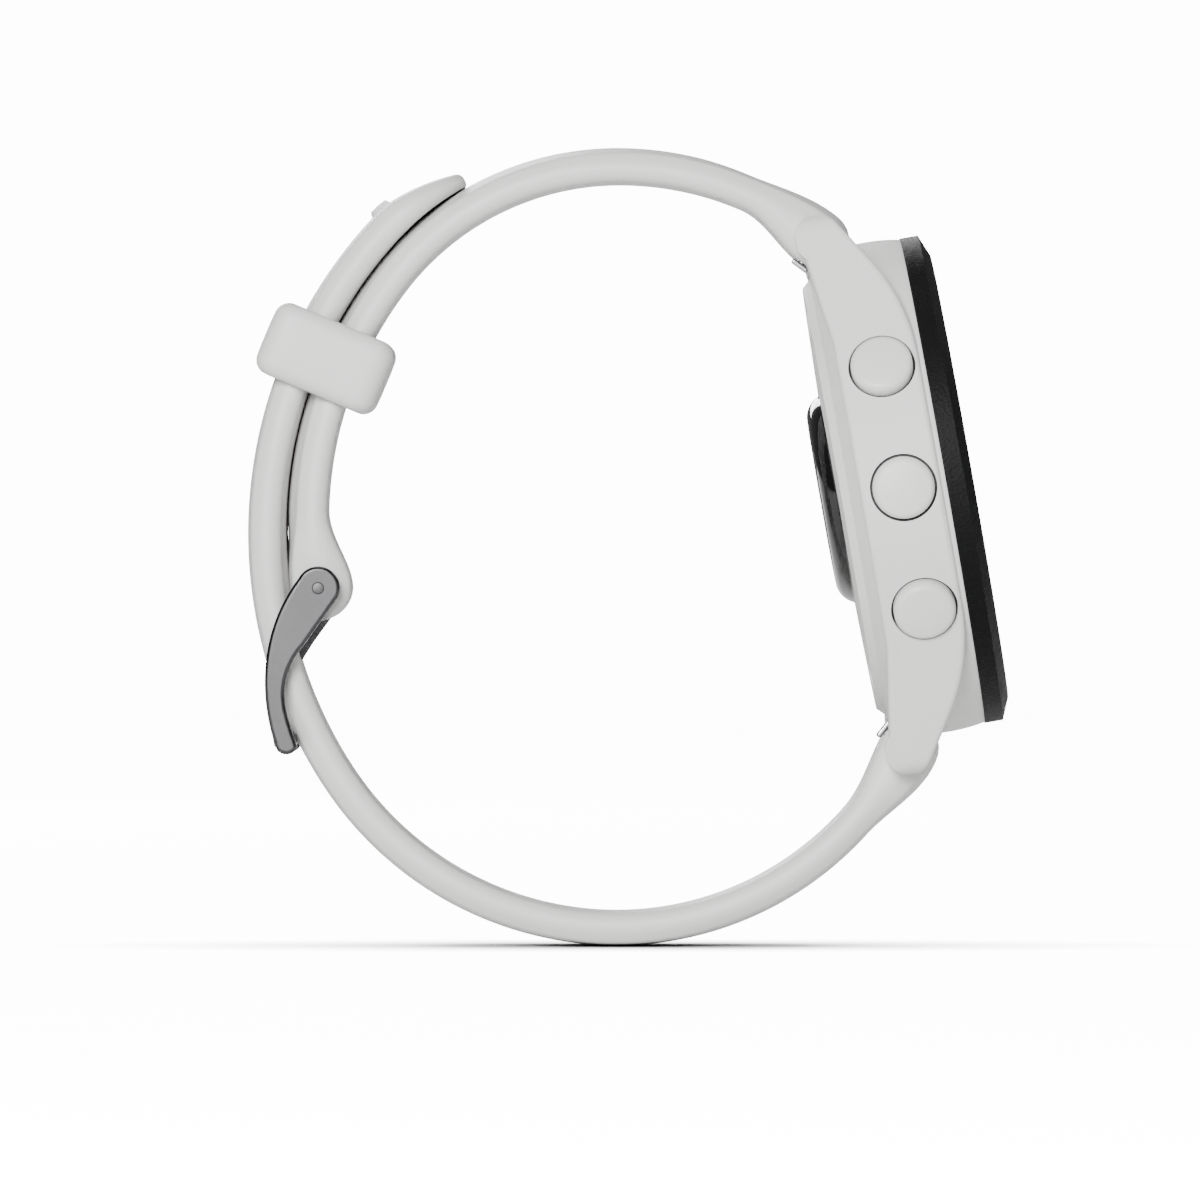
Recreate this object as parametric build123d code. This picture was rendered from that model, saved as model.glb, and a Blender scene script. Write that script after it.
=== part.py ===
from build123d import *
import math
import os

# GPS running watch standing on its buckled silicone strap.
# Row frame: +X is where the dial faces, +Z is up, Y is the width of the strap.
# Case frame: x = 3 o'clock, y = 12 o'clock, z = out of the dial, z = 0 at the case back.

# Case
bezel_dia = 43.0
case_height = 11.5
dial_tilt = 10.0
case_centre_x = 18.5
case_centre_z = 39.23
barrel_r = 21.4
barrel_belly = 0.3
barrel_foot_r = 21.0
cavity_r = 18.9
panel_r = 21.9
panel_front = 8.72
panel_back = 1.6
panel_shoulder = 13.4
panel_shoulder_round = 7.0
panel_knee_round = 17.0
panel_edge_round = 0.5

# Lugs
lug_axis_y = 22.57
lug_axis_z = 2.2
lug_tip_r = 2.1
lug_tip_z = 2.0
lug_heel_z = 0.3
lug_reach = 24.6
lug_slope = 32.0
strap_width = 20.0
strap_side_gap = 0.2
lug_gap = strap_width + 2 * strap_side_gap
lug_wall = 3.4
lug_half_width = lug_gap / 2 + lug_wall
lug_hole_r = 0.45
lug_hole_depth = 1.4

# Bezel, lens and display
bezel_height = 2.4
bezel_chamfer_depth = 0.78
bezel_chamfer_width = 1.84
lens_r = 17.15
lens_thickness = 1.2
lens_recess = 0.2
lens_ledge_r = 16.5
lens_seal_thickness = 0.1
display_r = 16.2
display_thickness = 1.4
slip = 0.1

# Back cover and sensor
back_flat_r = 18.65
back_step_r = 19.3
back_step_z = 0.7
back_dome = 0.3
screw_circle_r = 17.2
screw_angles = (65, 115, 245, 295)
screw_head_r = 1.25
screw_head_height = 0.7
screw_shank_r = 0.65
screw_length = 3.4
post_r = 1.9
post_height = 3.3
seal_inner_r = 19.05
seal_outer_r = 19.6
seal_depth = 0.5
sensor_base_r = 9.45
sensor_flat_r = 7.2
sensor_rise = 1.6
sensor_seat_z = 0.5
sensor_bore_r = 8.4
sensor_wall = 0.7
sensor_board_thickness = 0.6
led_size = 1.7
led_circle_r = 4.3
port_y = -13.9
port_length = 6.6
port_width = 3.0
port_depth = 1.0
contact_pitch = 1.4
contact_r = 0.42
vent_y = 13.9
vent_r = 1.5

# Electronics
chassis_thickness = 0.5
chassis_r = 15.2
battery_length = 22.0
battery_width = 17.0
battery_height = 2.9
battery_y = -2.6
battery_frame_wall = 0.8
board_r = 15.8
board_thickness = 0.7
motor_r = 3.3
motor_height = 2.4
motor_y = 11.4
can_length = 13.0
can_width = 11.0
can_height = 1.1
beeper_r = 3.4
beeper_height = 0.9
antenna_inner_r = 16.9
antenna_outer_r = 18.5
antenna_thickness = 0.7

# Buttons
button_z = 5.4
button_r = 2.7
button_gap = 0.22
button_proud = 0.75
button_dome = 0.25
button_edge_round = 0.55
button_travel = 0.5
pocket_floor_r = 20.3
stem_r = 0.9
stem_clearance = 0.05
stem_end_r = 17.9
clip_r = 1.5
clip_thickness = 0.35
clip_position_r = 18.38
groove_r = 0.6
groove_width = 0.5
groove_position_r = 19.35
switch_depth = 1.5
switch_width = 3.0
switch_height = 1.6
buttons = {
    "light_button": 151,
    "up_button": 180,
    "down_button": 209,
    "start_button": 30,
    "back_button": -30,
}

# Strap halves: inner radii of the arcs that follow one another, and the angles where they change
strap_thickness = 3.0
root_r = 2.6
root_blend = 5.5
upper_seat = 1.17
upper_angles = (51.6, 90.0, 142.8, 189.9)
upper_radii = (26.9, 23.5, 33.2)
lower_seat = 1.88
lower_angles = (334.3, 266.4, 213.5, 138.3, 119.6)
lower_radii = (26.45, 27.7, 37.35, 26.8)
tip_taper_start = 134.0
tip_thickness = 1.3
tip_corner_r = 6.5
hole_pitch = 7.5
hole_length = 4.8
hole_width = 2.6
holes_before_tongue = 4
holes_after_tongue = 5
hole_first_angle = 198.2
stop_angle = 134.5
stop_height = 0.4
stop_length = 1.2
stop_width = 12.0

# Keeper
keeper_angle = 157.1
keeper_radial = 11.1
keeper_along = 6.6
keeper_wall = 1.7
keeper_side_gap = 0.3
keeper_corner_r = 1.6

# Buckle
pin_seat = 1.25
pin_r = 0.6
boss_r = 2.85
boss_blend = 6.0
tongue_slot = 2.8
arm_thickness = 1.9
arm_gap = 0.3
arm_head_r = 1.9
arm_back = ((-1.7, 0.85), (-4.3, -4.9), (-4.6, -9.2), (-3.6, -14.0))
arm_inside = ((1.75, -0.75), (-1.3, -5.05), (-2.9, -8.9), (-1.8, -13.8))
arm_foot = (-2.75, -14.45)
arm_edge_round = 0.35
bar_offset = (-2.8, -13.5)
bar_r = 0.75
tongue_eye_r = 1.35
tongue_thickness = 0.9
tongue_width = 2.2
tongue_steps = ((0.0, 0.0), (0.6, -2.4), (-0.95, -4.55), (-4.25, -9.8), (-3.55, -13.6))
bar_notch = 3.0
running = 0.05

# Quick-release spring bars
tube_r = 0.75
tube_bore_r = 0.55
tube_inset = 1.0
tube_half = lug_gap / 2 - tube_inset
tip_r = 0.4
tip_reach = 1.3
release_travel = 1.3
slider_length = 6.0
lever_inset = 3.6
lever_place = tube_half - lever_inset
lever_r = 0.45
lever_reach = 2.9
lever_pad = 1.7
upper_lever_angle = 233.0
lower_lever_angle = 142.0
bar_spring_wire = 0.12
bar_spring_r = 0.36
bar_spring_turns = 12


def polar(radius, angle):
    return (radius * math.cos(math.radians(angle)), radius * math.sin(math.radians(angle)))


def ring(outer, inner, low, high):
    body = Pos(0, 0, (low + high) / 2) * Cylinder(outer, high - low)
    return body - Pos(0, 0, (low + high) / 2) * Cylinder(inner, high - low + 1)


def disc(radius, low, high, x=0, y=0):
    return Pos(x, y, (low + high) / 2) * Cylinder(radius, high - low)


def block(length, width, low, high, x=0, y=0):
    return Pos(x, y, (low + high) / 2) * Box(length, width, high - low)


def turned(points):
    """Solid of revolution about Z from (radius, height) corners."""
    return revolve(Plane.XZ * make_face(Polyline(*points, close=True)), Axis.Z)


tilt = math.radians(dial_tilt)
case_plane = Plane(
    origin=(case_centre_x, 0, case_centre_z),
    x_dir=(0, 1, 0),
    z_dir=(math.cos(tilt), 0, math.sin(tilt)),
)
bezel_z = case_height - bezel_height


def to_row(y, z):
    """Row-frame (x, z) of a point given by its 12 o'clock and dial-normal distances."""
    return (
        case_centre_x - y * math.sin(tilt) + z * math.cos(tilt),
        case_centre_z + y * math.cos(tilt) + z * math.sin(tilt),
    )


upper_axis = to_row(lug_axis_y, lug_axis_z)
lower_axis = to_row(-lug_axis_y, lug_axis_z)


# Case group, in the case frame

def side_profile():
    """Outline of the side panels and lugs seen from 9 o'clock, as a face in (y, z)."""
    slope = math.radians(lug_slope)
    tip_y = lug_axis_y + lug_tip_r * math.sin(slope)
    tip_z = lug_tip_z + lug_tip_r * math.cos(slope)
    knee_y = tip_y - (panel_front - tip_z) / math.tan(slope)
    half = Polyline(
        (0, panel_front),
        (knee_y, panel_front),
        (tip_y, tip_z),
        (lug_axis_y, lug_tip_z),
        (lug_axis_y, lug_heel_z),
        (panel_shoulder, panel_back),
        (0, panel_back),
        close=True,
    )
    face = make_face(half)
    knee = face.vertices().sort_by_distance((knee_y, panel_front, 0))[0]
    face = fillet(knee, panel_knee_round)
    back = face.vertices().sort_by_distance((panel_shoulder, panel_back, 0))[0]
    face = fillet(back, panel_shoulder_round)
    face = face + Pos(lug_axis_y, lug_tip_z) * Circle(lug_tip_r)
    return face + mirror(face, about=Plane.YZ)


def plan_outline():
    """Outline of case and lugs seen from the dial."""
    corner = 2.0
    tips = Locations((lug_half_width - corner, lug_reach - corner),
                     (corner - lug_half_width, lug_reach - corner),
                     (lug_half_width - corner, corner - lug_reach),
                     (corner - lug_half_width, corner - lug_reach))
    edges = Circle(panel_r).edges()
    for spot in tips:
        edges = edges + (spot * Circle(corner)).edges()
    return make_hull(edges)


def button_frame(angle):
    direction = polar(1, angle)
    return Plane(origin=(0, 0, button_z), x_dir=(-direction[1], direction[0], 0),
                 z_dir=(direction[0], direction[1], 0))


def panel_distance(angle):
    """Distance from the case axis to the side panel along a button's direction."""
    corner = 2.0
    tip = (lug_half_width - corner, lug_reach - corner)
    reach = math.hypot(*tip)
    leave = math.degrees(math.atan2(tip[1], tip[0]) - math.acos((panel_r - corner) / reach))
    off = min(abs(angle), abs(180 - abs(angle)))
    return panel_r / math.cos(math.radians(max(0.0, off - leave)))


def lug_relief():
    """Space between the lugs that the strap end turns in."""
    space = Pos(0, lug_reach + 2, 0) * Box(lug_gap, 2 * (lug_reach + 2 - lug_axis_y), 40)
    swing_r = root_r + 0.2
    space = space + Pos(0, lug_axis_y, lug_axis_z) * Rot(0, 90, 0) * Cylinder(swing_r, lug_gap)
    low = Pos(0, lug_axis_y, lug_axis_z - 10) * Box(lug_gap, 2 * swing_r, 20)
    return space + low


def main_case():
    barrel_face = make_face([
        Line((0, panel_back), (barrel_foot_r, panel_back)),
        ThreePointArc((barrel_foot_r, panel_back),
                      (barrel_r + barrel_belly, (panel_back + bezel_z) * 0.6),
                      (barrel_r, bezel_z)),
        Line((barrel_r, bezel_z), (0, bezel_z)),
        Line((0, bezel_z), (0, panel_back)),
    ])
    body = revolve(Plane.XZ * barrel_face, Axis.Z)
    panels = extrude(Plane.YZ * side_profile(), amount=panel_r + 1, both=True)
    panels = panels & extrude(plan_outline(), amount=case_height)
    rims = panels.edges().filter_by(lambda e: e.length > 12 and abs(e.center().X) > 12)
    panels = fillet(rims, panel_edge_round)
    body = body + panels
    body = body - ring(barrel_r + 20, barrel_r - 0.9, bezel_z, case_height + 5)
    body = body - disc(cavity_r, -1, case_height)
    body = body - disc(barrel_foot_r + 0.03, -5, panel_back)
    for turn in (0, 180):
        body = body - Rot(0, 0, turn) * lug_relief()
        hole_length = lug_gap + 2 * lug_hole_depth
        hole = Rot(0, 90, 0) * Cylinder(lug_hole_r, hole_length)
        body = body - Rot(0, 0, turn) * Pos(0, lug_axis_y, lug_axis_z) * hole
    for angle in screw_angles:
        x, y = polar(screw_circle_r, angle)
        post = disc(post_r, panel_back, panel_back + post_height, x, y)
        post = post & disc(cavity_r + 0.4, 0, case_height)
        body = body + post
        drill = screw_shank_r + 0.02
        body = body - disc(drill, panel_back - 1, panel_back + screw_length - 0.5, x, y)
    for angle in buttons.values():
        frame = button_frame(angle).location
        pocket = Pos(0, 0, pocket_floor_r + 2.5) * Cylinder(button_r + button_gap, 5)
        bore = Pos(0, 0, cavity_r + 1) * Cylinder(stem_r + stem_clearance, 6)
        body = body - frame * (pocket + bore)
    return body


def bezel():
    r = bezel_dia / 2
    spigot_z = bezel_z - 0.8
    spigot_r = cavity_r - slip
    return turned([
        (spigot_r - 0.9, spigot_z), (spigot_r, spigot_z), (spigot_r, bezel_z), (r, bezel_z),
        (r, case_height - bezel_chamfer_depth), (r - bezel_chamfer_width, case_height),
        (lens_r + slip, case_height), (lens_r + slip, lens_floor), (lens_ledge_r, lens_floor),
        (lens_ledge_r, bezel_z), (spigot_r - 0.9, bezel_z),
    ])


lens_top = case_height - lens_recess
lens_low = lens_top - lens_thickness
lens_floor = lens_low - lens_seal_thickness


def front_lens():
    body = disc(lens_r, lens_low, lens_top)
    return chamfer(body.edges().group_by(Axis.Z)[-1], 0.15)


def lens_seal():
    return ring(lens_r, lens_ledge_r + 0.05, lens_floor, lens_low)


def display_module():
    return disc(display_r, lens_low - display_thickness, lens_low)


def antenna_ring():
    top = bezel_z - 0.85
    band = ring(antenna_outer_r, antenna_inner_r, top - antenna_thickness, top)
    return band - Pos(antenna_outer_r, 0, top) * Box(4, 1.6, 4)


def back_cover():
    top = panel_back
    face = make_face([
        Line((0, top), (barrel_foot_r, top)),
        Line((barrel_foot_r, top), (back_step_r, back_step_z)),
        Line((back_step_r, back_step_z), (back_flat_r, 0)),
        ThreePointArc((back_flat_r, 0), (back_flat_r / 2, -back_dome * 0.8), (0, -back_dome)),
        Line((0, -back_dome), (0, top)),
    ])
    body = revolve(Plane.XZ * face, Axis.Z)
    body = body - disc(sensor_bore_r, -5, 5)
    body = body - disc(sensor_base_r + 0.05, -5, sensor_seat_z)
    body = body - ring(seal_outer_r, seal_inner_r, top - seal_depth, top + 1)
    for turn in (0, 180):
        body = body - Rot(0, 0, turn) * lug_relief()
    for angle in screw_angles:
        x, y = polar(screw_circle_r, angle)
        body = body - disc(screw_shank_r + 0.1, -5, 5, x, y)
        body = body - disc(screw_head_r + 0.1, -5, screw_head_height, x, y)
    pocket = block(port_length, port_width, -5, port_depth, 0, port_y)
    body = body - fillet(pocket.edges().filter_by(Axis.Z), 0.9)
    return body - disc(vent_r, -5, 0.6, 0, vent_y)


def back_cover_seal():
    return ring(seal_outer_r - 0.05, seal_inner_r + 0.05, panel_back - seal_depth, panel_back)


def back_screws():
    screws = []
    for angle in screw_angles:
        x, y = polar(screw_circle_r, angle)
        head = disc(screw_head_r, 0.1, screw_head_height, x, y)
        head = head - Pos(x, y, 0.1) * extrude(RegularPolygon(0.6, 6), amount=0.35)
        shank = disc(screw_shank_r, screw_head_height, panel_back + screw_length - 0.8, x, y)
        screws.append(head + shank)
    return Compound(children=screws)


def sensor_window():
    face = make_face([
        Line((0, -sensor_rise), (sensor_flat_r, -sensor_rise)),
        TangentArc((sensor_flat_r, -sensor_rise), (sensor_base_r - 0.35, -0.35), tangent=(1, 0)),
        Line((sensor_base_r - 0.35, -0.35), (sensor_base_r, -0.05)),
        Line((sensor_base_r, -0.05), (sensor_base_r, sensor_seat_z)),
        Line((sensor_base_r, sensor_seat_z), (0, sensor_seat_z)),
        Line((0, sensor_seat_z), (0, -sensor_rise)),
    ])
    body = revolve(Plane.XZ * face, Axis.Z)
    return body - disc(sensor_bore_r - 1.0, sensor_wall - sensor_rise, 5)


def sensor_board():
    body = disc(sensor_bore_r - 0.1, sensor_seat_z, sensor_seat_z + sensor_board_thickness)
    return body


def sensor_leds():
    top = sensor_seat_z
    low = top - 0.7
    lamps = [block(led_size * 1.3, led_size * 1.3, low, top)]
    for k in range(6):
        x, y = polar(led_circle_r, 60 * k)
        lamps.append(block(led_size, led_size, low, top, x, y))
    return Compound(children=lamps)


def charging_port():
    low = 0.25
    body = block(port_length - 0.1, port_width - 0.1, low, port_depth, 0, port_y)
    body = fillet(body.edges().filter_by(Axis.Z), 0.85)
    for k in range(4):
        body = body - disc(contact_r, low - 1, port_depth + 1, contact_pitch * (k - 1.5), port_y)
    return body


def charging_contacts():
    pads = []
    for k in range(4):
        pads.append(disc(contact_r, 0.1, port_depth, contact_pitch * (k - 1.5), port_y))
    return Compound(children=pads)


def pressure_vent():
    body = disc(vent_r - 0.03, 0.0, 0.6, 0, vent_y)
    for k in range(5):
        x, y = polar(0.8, 72 * k)
        body = body - disc(0.18, -1, 0.4, x, vent_y + y)
    return body


chassis_z = panel_back + post_height + 0.02
board_z = chassis_z + chassis_thickness


def chassis():
    plate = disc(chassis_r, chassis_z, board_z)
    for angle in screw_angles:
        x, y = polar(screw_circle_r, angle)
        ear = Rot(0, 0, angle) * block(6, 2.4, chassis_z, board_z, 14.8, 0)
        plate = plate + ear
    wall = 2 * battery_frame_wall
    outer = block(battery_length + wall, battery_width + wall, panel_back + 0.2, chassis_z,
                  0, battery_y)
    inner = block(battery_length + 0.2, battery_width + 0.2, 0, chassis_z, 0, battery_y)
    return plate + (outer - inner)


def battery():
    low = chassis_z - battery_height - 0.1
    body = block(battery_length, battery_width, low, low + battery_height, 0, battery_y)
    return fillet(body.edges().filter_by(Axis.Z), 1.2)


def vibration_motor():
    return disc(motor_r, chassis_z - motor_height, chassis_z, 0, motor_y)


def main_board():
    return disc(board_r, board_z, board_z + board_thickness)


def shield_can():
    low = board_z + board_thickness
    body = block(can_length, can_width, low, low + can_height, 4.5, 0)
    body = fillet(body.edges().filter_by(Axis.Z), 0.8)
    return body - block(can_length - 0.4, can_width - 0.4, low - 1, low + can_height - 0.2, 4.5, 0)


def beeper():
    low = board_z + board_thickness
    return disc(beeper_r, low, low + beeper_height, -9.5, 0)


def side_switches():
    found = []
    for angle in buttons.values():
        body = Pos(0, 0, board_r + switch_depth / 2)
        body = body * Box(switch_width, switch_height, switch_depth)
        found.append(button_frame(angle).location * body)
    return Compound(children=found) - disc(board_r, 0, case_height)


def button_cap(angle):
    top = panel_distance(angle) + button_proud
    under = pocket_floor_r + button_travel + 0.1
    face = make_face([
        Line((0, under), (button_r, under)),
        Line((button_r, under), (button_r, top)),
        ThreePointArc((button_r, top), (button_r / 2, top + button_dome * 0.75),
                      (0, top + button_dome)),
        Line((0, top + button_dome), (0, under)),
    ])
    cap = revolve(Plane.XZ * face, Axis.Z)
    rims = cap.edges().filter_by(lambda e: abs(e.length - 2 * math.pi * button_r) < 0.01)
    cap = fillet(rims.sort_by(Axis.Z)[-1], button_edge_round)
    stem = disc(stem_r, stem_end_r, under)
    stem = stem - ring(stem_r + 1, groove_r, groove_position_r, groove_position_r + groove_width)
    stem = stem - ring(stem_r + 1, groove_r, clip_position_r, clip_position_r + clip_thickness)
    return button_frame(angle).location * (cap + stem)


def button_clip(angle):
    clip = ring(clip_r, groove_r, clip_position_r, clip_position_r + clip_thickness)
    clip = clip - Pos(1.2, 0, clip_position_r) * Box(2.4, 0.8, 2)
    return button_frame(angle).location * clip


def button_seal(angle):
    seal = ring(stem_r + 0.03, groove_r, groove_position_r + 0.02,
                groove_position_r + groove_width - 0.02)
    return button_frame(angle).location * seal


# Strap group, in the row frame

def arc_centres(axis, seat, angles, radii):
    """Centres of arcs that run on into one another, the first passing over the lug axis."""
    x, z = polar(radii[0] + seat, angles[0])
    centres = [(axis[0] - x, axis[1] - z)]
    for k in range(1, len(radii)):
        dx, dz = polar(radii[k - 1] - radii[k], angles[k])
        centres.append((centres[-1][0] + dx, centres[-1][1] + dz))
    return centres


upper_centres = arc_centres(upper_axis, upper_seat, upper_angles, upper_radii)
lower_centres = arc_centres(lower_axis, lower_seat, lower_angles, lower_radii)


def on_arc(centre, radius, angle):
    x, z = polar(radius, angle)
    return (centre[0] + x, centre[1] + z)


pin_centre = on_arc(upper_centres[2], upper_radii[2] + pin_seat, upper_angles[3])


def band(centres, radii, angles):
    """Face between the inner and outer arcs of a strap half."""
    edges = []
    for k in range(len(radii)):
        span = angles[k + 1] - angles[k]
        for depth in (0, strap_thickness):
            edges.append(CenterArc(centres[k], radii[k] + depth, angles[k], span))
    for k in (0, -1):
        inner = on_arc(centres[k], radii[k], angles[k])
        outer = on_arc(centres[k], radii[k] + strap_thickness, angles[k])
        edges.append(Line(inner, outer))
    return make_face(edges)


def swollen_end(axis, end_r, centre, radius, start, blend):
    """Round strap end that thins to the band over a blend length, negative if angles fall."""
    away = start + math.degrees(blend / radius)
    section = Line(on_arc(centre, radius, away),
                   on_arc(centre, radius + strap_thickness, away))
    circle = Pos(*axis) * Circle(end_r)
    return make_hull(circle.edges() + section.edges())


def across(face, width):
    return extrude(Plane.XZ * face, amount=width / 2, both=True)


def rod(point, radius, low, high):
    """Round bar along Y."""
    body = Cylinder(radius, high - low)
    return Pos(point[0], (low + high) / 2, point[1]) * Rot(90, 0, 0) * body


def lever_space(axis, angle):
    """Pocket in a strap end for the quick-release lever and its travel."""
    length = release_travel + 2.6
    box = Box(2 * lever_reach, length, 2.4)
    box = Pos(lever_reach, -lever_place + release_travel / 2, 0) * box
    return Pos(axis[0], 0, axis[1]) * Rot(0, -angle, 0) * box


def upper_strap():
    face = band(upper_centres, upper_radii, upper_angles)
    face = face + swollen_end(upper_axis, root_r, upper_centres[0], upper_radii[0],
                              upper_angles[0], root_blend)
    face = face + swollen_end(pin_centre, boss_r, upper_centres[2], upper_radii[2],
                              upper_angles[3], -boss_blend)
    body = across(face, strap_width)
    body = body - rod(upper_axis, tube_r + running, -strap_width, strap_width)
    body = body - lever_space(upper_axis, upper_lever_angle)
    body = body - rod(pin_centre, pin_r + running, -strap_width, strap_width)
    slot = Box(4 * boss_r, tongue_slot, 2.6 * boss_r)
    return body - Pos(pin_centre[0], 0, pin_centre[1] - 0.3) * slot


def arc_place(angle, depth):
    """Location on the tail with local x along the strap, y across it, z outward."""
    k = 2 if angle >= lower_angles[3] else 3
    x, z = on_arc(lower_centres[k], lower_radii[k] + depth, angle)
    out = polar(1, angle)
    along = polar(1, angle + 90)
    place = Plane(origin=(x, 0, z), x_dir=(along[0], 0, along[1]), z_dir=(out[0], 0, out[1]))
    return place.location


def hole_places():
    """Angles of the strap holes, stepping by the pitch along the arcs."""
    middle = lower_radii[2] + strap_thickness / 2
    step = math.degrees(hole_pitch / middle)
    first = -holes_before_tongue
    return [hole_first_angle - step * k for k in range(first, holes_after_tongue + 1)]


def strap_hole(angle):
    if angle > lower_angles[2]:
        shift = (lower_radii[2] - lower_radii[1]) / (lower_radii[1] + strap_thickness / 2)
        angle = angle + (angle - lower_angles[2]) * shift
        x, z = on_arc(lower_centres[1], lower_radii[1], angle)
        out = polar(1, angle)
        place = Plane(origin=(x, 0, z), x_dir=(-out[1], 0, out[0]), z_dir=(out[0], 0, out[1]))
        place = place.location
    else:
        place = arc_place(angle, 0)
    slot = SlotOverall(hole_length, hole_width)
    return place * extrude(slot, amount=strap_thickness + 1.5, both=True)


def lower_strap():
    face = band(lower_centres, lower_radii, lower_angles)
    face = face + swollen_end(lower_axis, root_r, lower_centres[0], lower_radii[0],
                              lower_angles[0], -root_blend)
    last = lower_centres[3]
    inner = lower_radii[3]
    taper = Polyline(
        on_arc(last, inner + strap_thickness + 0.01, tip_taper_start),
        on_arc(last, inner + strap_thickness + 2, tip_taper_start),
        on_arc(last, inner + strap_thickness + 3, lower_angles[4] - 3),
        on_arc(last, inner + tip_thickness, lower_angles[4] - 3),
        on_arc(last, inner + tip_thickness + 0.15, lower_angles[4]),
        close=True,
    )
    body = across(face - make_face(taper), strap_width)
    body = body - rod(lower_axis, tube_r + running, -strap_width, strap_width)
    body = body - lever_space(lower_axis, lower_lever_angle)
    for angle in hole_places():
        body = body - strap_hole(angle)
    for side in (-1, 1):
        middle = side * (strap_width - tip_corner_r) / 2
        corner = Pos(tip_corner_r / 2 - 0.5, middle) * Rectangle(tip_corner_r + 1, tip_corner_r)
        centre = Pos(tip_corner_r, side * (strap_width / 2 - tip_corner_r))
        corner = corner - centre * Circle(tip_corner_r)
        body = body - arc_place(lower_angles[4], 0) * extrude(corner, amount=6, both=True)
    stop = Box(stop_length, stop_width, 2 * stop_height)
    stop = fillet(stop.edges().filter_by(Axis.Z), 0.4)
    return body + arc_place(stop_angle, strap_thickness) * stop


def keeper_frame():
    x, z = on_arc(upper_centres[2], upper_radii[2] + strap_thickness, keeper_angle)
    out = polar(1, keeper_angle)
    return Plane(origin=(x, 0, z), x_dir=(-out[1], 0, out[0]), z_dir=(out[0], 0, out[1]))


def keeper():
    width = strap_width + 2 * (keeper_side_gap + keeper_wall)
    outer = RectangleRounded(width, keeper_radial, keeper_corner_r)
    inner = RectangleRounded(width - 2 * keeper_wall, keeper_radial - 2 * keeper_wall, 0.6)
    loop = Plane.YZ * extrude(outer - inner, amount=keeper_along / 2, both=True)
    edges = loop.edges().filter_by(Plane.YZ)
    loop = fillet(edges.sort_by(lambda e: abs(e.center().X))[-8:], 0.4)
    return keeper_frame().location * loop


def chain(steps, centre):
    """Face that runs round circles given as (x, z, radius) from a centre."""
    face = None
    for a, b in zip(steps[:-1], steps[1:]):
        ends = Pos(centre[0] + a[0], centre[1] + a[1]) * Circle(a[2])
        other = Pos(centre[0] + b[0], centre[1] + b[1]) * Circle(b[2])
        link = make_hull(ends.edges() + other.edges())
        face = link if face is None else face + link
    return face


def arm_outline():
    """Leaf-shaped side outline of the buckle arm, with a round head about the pin."""
    back = [(pin_centre[0] + x, pin_centre[1] + z) for x, z in arm_back]
    inside = [(pin_centre[0] + x, pin_centre[1] + z) for x, z in arm_inside]
    foot = (pin_centre[0] + arm_foot[0], pin_centre[1] + arm_foot[1])
    top = (pin_centre[0] + arm_head_r * 0.45, pin_centre[1] + arm_head_r * 0.893)
    return make_face([
        ThreePointArc(back[0], top, inside[0]),
        Line(inside[0], inside[1]),
        Spline(*inside[1:], tangents=((-0.66, -0.75), (0.3, -0.95))),
        ThreePointArc(inside[-1], foot, back[-1]),
        Spline(*back),
    ])


def buckle_frame():
    low = strap_width / 2 + arm_gap
    arm = extrude(Plane.XZ * arm_outline(), amount=-arm_thickness)
    arm = fillet(arm.edges().filter_by(Plane.XZ), arm_edge_round)
    high = low + arm_thickness
    body = Pos(0, low, 0) * arm + Pos(0, -high, 0) * arm
    bar_centre = (pin_centre[0] + bar_offset[0], pin_centre[1] + bar_offset[1])
    bar = rod(bar_centre, bar_r, -low - 0.5, low + 0.5)
    notch_x = pin_centre[0] + tongue_steps[-1][0] + tongue_thickness / 2 + running
    notch = Pos(notch_x - 2, 0, bar_centre[1]) * Box(4, bar_notch, 4)
    body = body + (bar - notch)
    return body - rod(pin_centre, pin_r, -20, 20)


def buckle_pin():
    end = strap_width / 2 + arm_gap + arm_thickness
    return rod(pin_centre, pin_r, -end, end)


def buckle_tongue():
    half = tongue_thickness / 2
    steps = [(x, z, half) for x, z in tongue_steps]
    face = chain(steps, pin_centre) + Pos(*pin_centre) * Circle(tongue_eye_r)
    return across(face, tongue_width) - rod(pin_centre, pin_r + running, -5, 5)


def bar_tube(axis, angle):
    """Spring bar body with its fixed tip at the +Y end and a slot for the lever."""
    body = rod(axis, tube_r, -tube_half, tube_half)
    body = body - rod(axis, tube_bore_r, -tube_half - 1, tube_half - 1)
    body = body + rod(axis, tip_r, tube_half - 0.5, lug_gap / 2 + tip_reach - 0.1)
    slot_length = release_travel + 2 * lever_r + 0.2
    slot = Pos(1, -lever_place + release_travel / 2, 0) * Box(2, slot_length, 2 * lever_r + 0.1)
    return body - Pos(axis[0], 0, axis[1]) * Rot(0, -angle, 0) * slot


def bar_slider(axis, angle):
    """Sliding tip of the spring bar with the lever standing on it."""
    slider_r = tube_bore_r - running
    inner_end = slider_length - tube_half
    body = rod(axis, slider_r, -tube_half + 0.4, inner_end)
    body = body + rod(axis, tip_r, -lug_gap / 2 - tip_reach + 0.1, -tube_half + 0.6)
    post = Pos(lever_reach / 2, -lever_place, 0) * Rot(0, 90, 0) * Cylinder(lever_r, lever_reach)
    pad = Pos(lever_reach, -lever_place, 0) * Box(0.5, lever_pad, lever_pad)
    pad = fillet(pad.edges(), 0.2)
    lever = Pos(axis[0], 0, axis[1]) * Rot(0, -angle, 0) * (post + pad)
    return body + lever


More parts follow.
